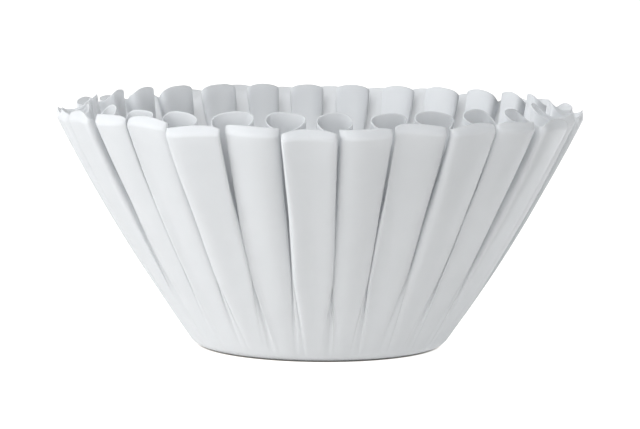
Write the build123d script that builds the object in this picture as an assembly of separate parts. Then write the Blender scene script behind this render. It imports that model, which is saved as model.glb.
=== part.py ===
from build123d import *
import os
from math import cos, floor, pi, radians, sin

# Basket coffee filter: one round sheet of filter paper, pressed over a fluted
# plug so that its middle stays flat and its outer band gathers into flutes.
# Millimetres and degrees. +Z is up, and the origin is the middle of the flat
# bottom, where the filter stands.

# Driving dimensions
paper = 0.15               # thickness of the sheet
base_radius = 23.4         # flat round bottom
corner_radius = 3.2        # bend between the bottom and the wall
crest_length = 54.2        # paper from the flat bottom to the lip, along an outer crest
valley_stretch = 0.5       # how much longer the plug draws the paper in an inner valley
crest_lean = 55.5          # slope of the wall at the foot of an outer crest, from level
valley_lean = 62.5         # slope of the wall at the foot of an inner valley, from level
wall_bow = 9.0             # how much steeper the wall gets from foot to lip
crest_lip = 2.1            # cut edge that curls in along the top of an outer crest
valley_lip = 0.3           # what is left of that lip in an inner valley
lip_turn = 40.0            # how far the lip turns inwards from the wall on a crest
rim_fullness = 2.8         # how far the flutes bulge sideways at the rim
foot_fullness = 0.6        # the same where they leave the bottom
crest_flatness = 0.06      # how flat the crests and valleys are pressed
crest_turn = -2.2          # where the first crest stands, from the front

# The sheet gathers a little unevenly. Going round from the front towards +X:
# the gap from each crest to the next, in shares of a round,
crest_gaps = [
    11.6, 11.8, 12.8, 12.4, 13.8, 14.2, 14.0, 14.0, 12.8, 12.2, 12.9, 13.0, 12.1, 12.1,
    11.7, 11.7, 13.0, 13.2, 12.0, 13.2, 14.1, 13.3, 13.3, 13.4, 12.7, 13.0, 13.1, 11.9,
]
# how much steeper each crest stands than crest_lean,
crest_set = [
    -1.5, -0.5, 0.5, 0.0, 0.0, -1.0, 0.5, -1.0, 0.0, 0.5, -0.5, 0.0, 1.5, 1.0,
    1.5, 1.0, 2.5, 0.5, -0.5, 0.0, 0.5, -2.0, -0.5, 0.0, 1.0, 1.0, -1.0, 0.0,
]
# and how much steeper the valley after each crest stands than valley_lean.
valley_set = [
    1.5, 1.0, 1.5, 1.5, 1.0, 1.5, 0.0, 0.0, 0.5, 0.0, -0.5, -1.0, -1.5, -1.5,
    -1.5, -1.0, -0.5, 0.0, 0.5, 0.5, -0.5, 0.0, -1.5, -0.5, -1.0, -0.5, 1.0, 2.0,
]

# Fineness of the modelled surface: how many straight bands make up the corner and
# the wall, how many curves make up one flute, and the spans in each of them
corner_bands = 3
wall_bands = 6
curves_per_flute = 2
spans_per_curve = 5

flutes = len(crest_gaps)
flute_pitch = [gap * 360 / sum(crest_gaps) for gap in crest_gaps]
crest_angle = [crest_turn + sum(flute_pitch[:k]) for k in range(flutes)]


def wave(u):
    """Place in the flute's section: 1 on a crest, -1 in a valley."""
    return (cos(2 * pi * u) - crest_flatness * cos(6 * pi * u)) / (1 - crest_flatness)


def flute_angle(u, share):
    """Angle round the filter at flute place u, where whole numbers are crests."""
    crest = floor(u + 0.5)
    side = u - crest
    pitch = flute_pitch[crest % flutes] if side >= 0 else flute_pitch[(crest - 1) % flutes]
    fullness = foot_fullness + (rim_fullness - foot_fullness) * share
    spread = 2 * side + fullness * sin(4 * pi * side) / (2 * pi)
    return crest_angle[crest % flutes] + 360 * (crest // flutes) + spread * pitch / 2


def foot_lean(u):
    """Slope of the wall at its foot: a crest leans out more than a valley."""
    crest = crest_lean + crest_set[floor(u + 0.5) % flutes]
    valley = valley_lean + valley_set[floor(u) % flutes]
    return valley + (crest - valley) * (1 + wave(u)) / 2


def sheet(u, share):
    """Middle of the paper at flute place u. The share runs from 0 at the flat bottom
    to 1 where the lip begins, and on to 2 at the cut edge."""
    on_crest = (1 + wave(u)) / 2
    length = crest_length + valley_stretch * (1 - on_crest)
    up_wall = min(share, 1)
    foot = radians(foot_lean(u))
    corner = corner_radius * foot
    bow_radius = (length - corner) / radians(wall_bow)
    bend = min(up_wall * length / corner_radius, foot)
    slope = foot + max(up_wall * length - corner, 0) / bow_radius
    out = base_radius + corner_radius * sin(bend) + bow_radius * (sin(slope) - sin(foot))
    up = corner_radius * (1 - cos(bend)) + bow_radius * (cos(foot) - cos(slope))
    lip = (valley_lip + (crest_lip - valley_lip) * on_crest ** 2) * max(share - 1, 0)
    lip_slope = slope + radians(lip_turn) * on_crest ** 2
    out += lip * cos(lip_slope)
    up += lip * sin(lip_slope)
    angle = radians(flute_angle(u, up_wall))
    return Vector(out * sin(angle), -out * cos(angle), up + paper / 2)


def face_point(u, share, side):
    """Point on the outer (side 1) or inner (side -1) face of the paper."""
    small = 0.0005
    around = sheet(u + small, share) - sheet(u - small, share)
    along = sheet(u, min(share + small, 2)) - sheet(u, max(share - small, 0))
    return sheet(u, share) + around.cross(along).normalized() * (side * paper / 2)


def outline(share, side):
    """Closed outline round the flutes at a share of the wall, in smoothly joined curves."""
    steps = [k / spans_per_curve for k in range(spans_per_curve + 1)]
    small = 0.001
    curves = []
    for curve in range(flutes * curves_per_flute):
        places = [(curve + step) / curves_per_flute for step in steps]
        points = [face_point(u, share, side) for u in places]
        ends = []
        for u in (places[0], places[-1]):
            ahead = face_point(u + small, share, side)
            behind = face_point(u - small, share, side)
            ends.append((ahead - behind) / (2 * small * curves_per_flute))
        curves.append(Edge.make_spline(points, tangents=ends, parameters=steps, scale=False))
    return Wire(curves)


def band_shares():
    """Shares of the wall at which the bands of its surface meet, and the cut edge."""
    corner_share = corner_radius * radians(crest_lean) / crest_length
    shares = [corner_share * k / corner_bands for k in range(corner_bands)]
    for k in range(wall_bands + 1):
        shares.append(corner_share + (1 - corner_share) * k / wall_bands)
    return shares + [2]


def filter_paper():
    """The sheet as one solid: its two faces, each wall and round bottom, and the cut rim."""
    faces = []
    rims = []
    for side in (1, -1):
        outlines = [outline(share, side) for share in band_shares()]
        faces += Shell.make_loft(outlines, ruled=True).faces()
        faces.append(Face(outlines[0]))
        rims.append(outlines[-1])
    faces += Shell.make_loft(rims, ruled=True).faces()
    return Solid(Shell(faces))


os.makedirs("parts", exist_ok=True)
export_step(filter_paper(), "parts/filter_paper.step")
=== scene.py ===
from math import pi, radians

import bpy
import numpy as np
from mathutils import Matrix, Vector


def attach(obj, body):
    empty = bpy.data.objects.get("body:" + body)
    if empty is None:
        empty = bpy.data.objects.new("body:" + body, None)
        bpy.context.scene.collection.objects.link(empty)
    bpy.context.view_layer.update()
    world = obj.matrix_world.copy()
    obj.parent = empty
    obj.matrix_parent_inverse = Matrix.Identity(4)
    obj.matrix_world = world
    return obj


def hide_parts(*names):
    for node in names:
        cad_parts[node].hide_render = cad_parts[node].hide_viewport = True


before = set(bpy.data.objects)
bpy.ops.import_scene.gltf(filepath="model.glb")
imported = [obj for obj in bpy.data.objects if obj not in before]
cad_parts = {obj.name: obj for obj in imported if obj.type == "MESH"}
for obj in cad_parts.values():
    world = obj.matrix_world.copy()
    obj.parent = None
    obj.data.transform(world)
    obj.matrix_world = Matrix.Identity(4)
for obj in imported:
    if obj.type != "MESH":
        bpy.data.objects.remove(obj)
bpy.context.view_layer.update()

# ---------------------------------------------------------------------------
# The filter: one round sheet of bleached filter paper. A fluted plug presses
# its middle flat and gathers the band round it into a wall of flutes, and the
# cut edge relaxes into a soft inward lip on every outer crest.
# ---------------------------------------------------------------------------

mm = 0.001
paper = 0.15 * mm          # thickness of the sheet
base_radius = 23.4 * mm    # flat round bottom
corner_radius = 3.2 * mm   # bend between the bottom and the wall

# Lengths of paper, from the flat bottom up the wall
crest_length = 54.2 * mm   # up an outer crest, as far as its lip
valley_stretch = 1.1 * mm  # how much further the wall goes up an inner valley
flank_dip = 1.3 * mm       # how far the cut edge sinks between the two
valley_lip = 0.3 * mm      # lip in a valley
lip_length = 2.0 * mm      # how much more of it there is on a crest
lip_fold = 0.7 * mm        # length of the bend where the lip turns in

# Slopes in degrees from level
crest_lean = 55.5          # at the foot of a crest
valley_lean = 62.5         # at the foot of a valley, before the shares below
valley_foot = 0.15         # share of the difference between the two leans at the foot
valley_rise = 2.55         # and what it gains by the rim
crest_hold = 1.4           # how far down the flank the slope of the crest is kept
wall_bow = 9.0             # how much steeper the wall gets from foot to lip
lip_turn = 55.0            # how far the lip turns in on the front crests
back_lip = 0.2             # share of that turn on the back crests

# Section of the flutes: fullness makes both crest and valley bulge sideways, and
# width makes the crest wide and the valley narrow. Heights are shares of the wall.
crest_flatness = 0.03      # how flat crests and valleys are pressed
foot_fullness = 0.3        # where the flutes leave the bottom
top_fullness = 0.95        # up the wall, below the curl
open_height = 0.4          # where the flutes have that fullness and their full width
curl_height = 0.6          # where they start to curl towards the fullness of the rim
crest_width = 1.5          # on the front flutes
back_width = 0.35          # share of that width on the back flutes
width_loss = 0.27          # width that goes as the fullness grows past top_fullness
width_squeeze = 0.055      # and that goes with its square
crest_turn = -2.2          # where the first crest stands, in degrees from the front

# The sheet gathers a little unevenly. Going round from the front towards +X:
# the gap from each crest to the next, in shares of a round,
crest_gaps = [
    11.6, 11.8, 12.8, 12.4, 13.8, 14.2, 14.0, 14.0, 12.8, 12.2, 12.9, 13.0, 12.1, 12.1,
    11.7, 11.7, 13.0, 13.2, 12.0, 13.2, 14.1, 13.3, 13.3, 13.4, 12.7, 13.0, 13.1, 11.9,
]
# how much steeper each crest stands than crest_lean,
crest_set = [
    -1.5, -0.5, 0.5, 0.0, 0.0, -1.0, 0.5, -1.0, 0.0, 0.5, -0.5, 0.0, 1.5, 1.0,
    1.5, 1.0, 2.5, 0.5, -0.5, 0.0, 0.5, -2.0, -0.5, 0.0, 1.0, 1.0, -1.0, 0.0,
]
# how much steeper the valley after each crest stands than valley_lean,
valley_set = [
    1.5, 1.0, 1.5, 1.5, 1.0, 1.5, 0.0, 0.0, 0.5, 0.0, -0.5, -1.0, -1.5, -1.5,
    -1.5, -1.0, -0.5, 0.0, 0.5, 0.5, -0.5, 0.0, -1.5, -0.5, -1.0, -0.5, 1.0, 2.0,
]
# and the fullness of each flute at the rim.
crest_fullness = [
    3.7, 3.2, 3.8, 3.5, 2.9, 1.9, 1.2, 1.1, 1.6, 2.4, 2.7, 2.9, 2.8, 2.7,
    2.8, 2.8, 2.7, 2.9, 2.7, 2.4, 1.6, 1.1, 1.2, 1.9, 2.8, 3.5, 3.6, 3.7,
]
# Waves that run round the paper: degrees, waves in a round, start, drift up the wall
sways = [(0.3, 9, 1, 1), (0.2, 13, 0, 2)]
creases = [(0.4, 73, 0, 2), (0.3, 101, 2, 0)]

# Fineness of the mesh
columns_per_flute = 36
corner_rows = 8
wall_rows = 24
lip_rows = 16
steps_per_row = 8
base_rings = [0.2, 0.5, 0.8, 1.0]
corner_share = 0.09        # shares of the paper's length where the rows change
lip_share = 0.93

flutes = len(crest_gaps)
flute_pitch = np.array(crest_gaps) * 360 / sum(crest_gaps)
crest_angle = crest_turn + np.concatenate(([0.0], np.cumsum(flute_pitch)[:-1]))
set_crest = np.array(crest_set)
set_valley = np.array(valley_set)
fullness_of = np.array(crest_fullness)


def wave(u):
    """Place in the flute's section: 1 on a crest, -1 in a valley."""
    return (np.cos(2 * pi * u) - crest_flatness * np.cos(6 * pi * u)) / (1 - crest_flatness)


def ripple(waves, u, share):
    """Sum of the waves in degrees, at flute place u and a share of the wall."""
    total = 0 * u
    for size, count, start, drift in waves:
        total = total + size * np.sin(count * 2 * pi * u / flutes + start + drift * share)
    return total


def from_back(u, at_back):
    """A value that is 1 at the front of the filter and at_back at its back."""
    front = (1 + np.cos(2 * pi * u / flutes)) / 2
    return at_back + (1 - at_back) * front


def flute_angle(u, share):
    """Degrees round the filter at flute place u, where whole numbers are crests."""
    crest = np.floor(u + 0.5).astype(int)
    side = u - crest
    pitch = np.where(side >= 0, flute_pitch[crest % flutes], flute_pitch[(crest - 1) % flutes])
    share = np.clip(share, 0, 1)
    near_rim = np.clip((share - curl_height) / (1 - curl_height), 0, 1)
    curl = near_rim ** 2 * (3 - 2 * near_rim)
    opened = np.clip(share / open_height, 0, 1)
    below_curl = foot_fullness + (top_fullness - foot_fullness) * opened
    fullness = below_curl + (fullness_of[crest % flutes] - below_curl) * curl
    beyond = np.maximum(fullness - top_fullness, 0)
    open_width = opened * crest_width * from_back(u, back_width)
    width = np.maximum(open_width - width_loss * beyond - width_squeeze * beyond ** 2, 0)
    spread = 2 * side + (fullness * np.sin(4 * pi * side) / 2 + width * np.sin(2 * pi * side)) / pi
    straight = crest_angle[crest % flutes] + 360 * (crest // flutes) + spread * pitch / 2
    return straight + ripple(sways, u, share) * np.sin(pi * share)


def wall_slope(u, along, length, lip):
    """Slope of the paper from level at a distance along it from the flat bottom."""
    crest = crest_lean + set_crest[np.floor(u + 0.5).astype(int) % flutes]
    valley = valley_lean + set_valley[np.floor(u).astype(int) % flutes]
    on_crest = 1 - ((1 - wave(u)) / 2) ** crest_hold
    wall = length - lip
    share = np.clip(along / wall, 0, 1)
    foot = crest + (valley - crest) * (1 - on_crest) * (valley_foot + valley_rise * share ** 2)
    corner = corner_radius * np.radians(foot)
    in_corner = np.minimum(along / corner, 1)
    bowed = np.clip((along - corner) / (wall - corner), 0, 1) * wall_bow
    turned_lip = np.clip((along - wall) / lip_fold, 0, 1) * on_crest ** 2
    lipped = turned_lip * lip_turn * from_back(u, back_lip)
    creased = ripple(creases, u, share) * from_back(u, 0)
    return (foot + creased) * in_corner + bowed + lipped


def sheet_grid(shares):
    """Middle of the paper as rows of points, from near the centre of the bottom to the rim."""
    u = np.arange(flutes * columns_per_flute) / columns_per_flute
    on_crest = (1 + wave(u)) / 2
    lip = valley_lip + lip_length * on_crest ** 3
    below_middle = np.where(wave(u) < 0, 1 - wave(u) ** 2, 1.0)
    dip = flank_dip * below_middle * (1 - on_crest ** 2)
    length = crest_length + valley_stretch * (1 - on_crest) + lip - dip
    rows = []
    for ring in base_rings:
        angle = np.radians(flute_angle(u, 0 * u))
        out = np.full_like(u, ring * base_radius)
        rows.append(np.stack((out * np.sin(angle), -out * np.cos(angle), 0 * u), axis=1))
    out = np.full_like(u, base_radius)
    up = np.zeros_like(u)
    share_before = 0.0
    for share in shares[1:]:
        step = length * (share - share_before) / steps_per_row
        for k in range(steps_per_row):
            middle = share_before + (share - share_before) * (k + 0.5) / steps_per_row
            slope = np.radians(wall_slope(u, middle * length, length, lip))
            out = out + step * np.cos(slope)
            up = up + step * np.sin(slope)
        angle = np.radians(flute_angle(u, np.minimum(share * length / (length - lip), 1)))
        rows.append(np.stack((out * np.sin(angle), -out * np.cos(angle), up), axis=1))
        share_before = share
    grid = np.array(rows)
    grid[:, :, 2] += paper / 2
    return grid


def sheet_normals(grid):
    """Outward normals of the middle surface, row by row."""
    around = np.roll(grid, -1, axis=1) - np.roll(grid, 1, axis=1)
    along = np.gradient(grid, axis=0)
    normal = np.cross(around, along)
    return normal / np.linalg.norm(normal, axis=2, keepdims=True)


def filter_mesh():
    """Closed mesh of the sheet: outer face, inner face and the cut edge at the rim."""
    corner = np.linspace(0, corner_share, corner_rows)
    wall = np.linspace(corner_share, lip_share, wall_rows)[1:]
    lip = np.linspace(lip_share, 1.0, lip_rows)[1:]
    grid = sheet_grid(np.concatenate((corner, wall, lip)))
    normal = sheet_normals(grid)
    outer = grid + normal * paper / 2
    inner = grid - normal * paper / 2
    count_rows, count = grid.shape[:2]
    points = [tuple(p) for p in outer.reshape(-1, 3)] + [tuple(p) for p in inner.reshape(-1, 3)]
    points += [(0.0, 0.0, 0.0), (0.0, 0.0, paper)]
    second = count_rows * count
    faces = []
    for row in range(count_rows - 1):
        for c in range(count):
            d = (c + 1) % count
            a = row * count
            b = a + count
            faces.append((a + c, a + d, b + d, b + c))
            faces.append((second + a + d, second + a + c, second + b + c, second + b + d))
    top = (count_rows - 1) * count
    for c in range(count):
        d = (c + 1) % count
        faces.append((top + c, top + d, second + top + d, second + top + c))
        faces.append((d, c, 2 * second))
        faces.append((second + c, second + d, 2 * second + 1))
    mesh = bpy.data.meshes.new("filter_paper_sheet")
    mesh.from_pydata(points, [], faces)
    mesh.validate()
    mesh.update()
    mesh.shade_smooth()
    return mesh


def paper_material():
    """Bleached filter paper: matt, slightly cloudy and fibrous, and it lets light glow through."""
    material = bpy.data.materials.new("bleached filter paper")
    material.use_nodes = True
    nodes = material.node_tree.nodes
    links = material.node_tree.links
    nodes.clear()
    out = nodes.new("ShaderNodeOutputMaterial")
    mix = nodes.new("ShaderNodeMixShader")
    skin = nodes.new("ShaderNodeBsdfPrincipled")
    glow = nodes.new("ShaderNodeBsdfTranslucent")
    place = nodes.new("ShaderNodeTexCoord")
    cloud = nodes.new("ShaderNodeTexNoise")
    cloud.inputs["Scale"].default_value = 260
    cloud.inputs["Detail"].default_value = 3
    tone = nodes.new("ShaderNodeMix")
    tone.data_type = "RGBA"
    tone.inputs["A"].default_value = (0.60, 0.617, 0.635, 1)
    tone.inputs["B"].default_value = (0.65, 0.667, 0.685, 1)
    fibre = nodes.new("ShaderNodeTexNoise")
    fibre.inputs["Scale"].default_value = 2600
    fibre.inputs["Detail"].default_value = 4
    bump = nodes.new("ShaderNodeBump")
    bump.inputs["Strength"].default_value = 0.25
    bump.inputs["Distance"].default_value = 0.00005
    skin.inputs["Roughness"].default_value = 0.85
    skin.inputs["Specular IOR Level"].default_value = 0.25
    glow.inputs["Color"].default_value = (0.86, 0.87, 0.88, 1)
    mix.inputs["Fac"].default_value = 0.52
    links.new(place.outputs["Object"], cloud.inputs["Vector"])
    links.new(place.outputs["Object"], fibre.inputs["Vector"])
    links.new(cloud.outputs["Fac"], tone.inputs["Factor"])
    links.new(tone.outputs["Result"], skin.inputs["Base Color"])
    links.new(fibre.outputs["Fac"], bump.inputs["Height"])
    links.new(bump.outputs["Normal"], skin.inputs["Normal"])
    links.new(skin.outputs["BSDF"], mix.inputs[1])
    links.new(glow.outputs["BSDF"], mix.inputs[2])
    links.new(mix.outputs["Shader"], out.inputs["Surface"])
    return material


filter_sheet = bpy.data.objects.new("filter_sheet", filter_mesh())
bpy.context.scene.collection.objects.link(filter_sheet)
filter_sheet.data.materials.append(paper_material())
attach(filter_sheet, "root")
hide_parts("filter_paper")

# ---------------------------------------------------------------------------
# The table and the light: a plain white table lit from within, with a painted contact
# shadow where the filter stands on it, a soft light low on the left, another high in
# front, and a dim even room.
# ---------------------------------------------------------------------------

table_half = 4.0
table_glow = 1.15
# Painted contact shadow on the table: a ring round this point, a little towards the front, where
# the table's glow is taken away
painted_shadow_middle = (0, -0.0008, 0)
painted_shadow_radius = 23.5 * mm    # painted contact shadow: the table gives no light inside this radius
painted_shadow_fade_radius = 25.3 * mm     # and the painted shadow fades to all of its light at this one

corners = [(-1, -1), (1, -1), (1, 1), (-1, 1)]
table_mesh = bpy.data.meshes.new("table_top")
table_points = [(x * table_half, y * table_half, 0) for x, y in corners]
table_mesh.from_pydata(table_points, [], [(0, 1, 2, 3)])
table = bpy.data.objects.new("table_top", table_mesh)
bpy.context.scene.collection.objects.link(table)
table_material = bpy.data.materials.new("white lit table")
table_material.use_nodes = True
table_nodes = table_material.node_tree.nodes
table_links = table_material.node_tree.links
surface = table_nodes["Principled BSDF"]
# Dark warm colour that shows only in the painted contact shadow, where the glow is taken away
surface.inputs["Base Color"].default_value = (0.30, 0.28, 0.25, 1)
surface.inputs["Roughness"].default_value = 0.9
surface.inputs["Specular IOR Level"].default_value = 0.1
surface.inputs["Emission Color"].default_value = (1.0, 1.0, 1.0, 1)
# Painted contact shadow: the glow rises from nothing at the filter's foot to full strength a
# little outside it
spot = table_nodes.new("ShaderNodeTexCoord")
radius = table_nodes.new("ShaderNodeVectorMath")
radius.operation = "DISTANCE"
radius.inputs[1].default_value = painted_shadow_middle
rise = table_nodes.new("ShaderNodeMapRange")
rise.interpolation_type = "SMOOTHSTEP"
rise.inputs["From Min"].default_value = painted_shadow_radius
rise.inputs["From Max"].default_value = painted_shadow_fade_radius
rise.inputs["To Min"].default_value = 0.0
rise.inputs["To Max"].default_value = table_glow
table_links.new(spot.outputs["Object"], radius.inputs[0])
table_links.new(radius.outputs["Value"], rise.inputs["Value"])
table_links.new(rise.outputs["Result"], surface.inputs["Emission Strength"])
table_mesh.materials.append(table_material)

world = bpy.data.worlds.new("room")
bpy.context.scene.world = world
world.use_nodes = True
world.node_tree.nodes["Background"].inputs["Color"].default_value = (1.0, 1.0, 1.0, 1)
world.node_tree.nodes["Background"].inputs["Strength"].default_value = 0.28


def soft_light(name, place, size, power, aim=(0, 0, 0.03)):
    """A square studio light at a place, facing the filter."""
    lamp = bpy.data.lights.new(name, "AREA")
    lamp.size = size
    lamp.energy = power
    holder = bpy.data.objects.new(name, lamp)
    holder.location = place
    holder.rotation_euler = (Vector(aim) - Vector(place)).to_track_quat("-Z", "Y").to_euler()
    bpy.context.scene.collection.objects.link(holder)


soft_light("key_left", (-1.2, -0.15, 0.25), 0.8, 17)
soft_light("high_front", (-0.3, -0.75, 0.8), 0.9, 15)

camera_distance = 0.559
camera_height = 0.0884
camera_pitch = 6.376
camera_roll = 0.483
camera = bpy.data.cameras.new("camera")
camera.sensor_width = 36
camera.lens = 157.2
camera_holder = bpy.data.objects.new("camera", camera)
stand = Matrix.Translation((0, -camera_distance, camera_height))
pitched = Matrix.Rotation(radians(90 - camera_pitch), 4, "X")
rolled = Matrix.Rotation(radians(camera_roll), 4, "Z")
camera_holder.matrix_world = stand @ pitched @ rolled
bpy.context.scene.collection.objects.link(camera_holder)
bpy.context.scene.camera = camera_holder
bpy.context.scene.view_settings.view_transform = "Standard"
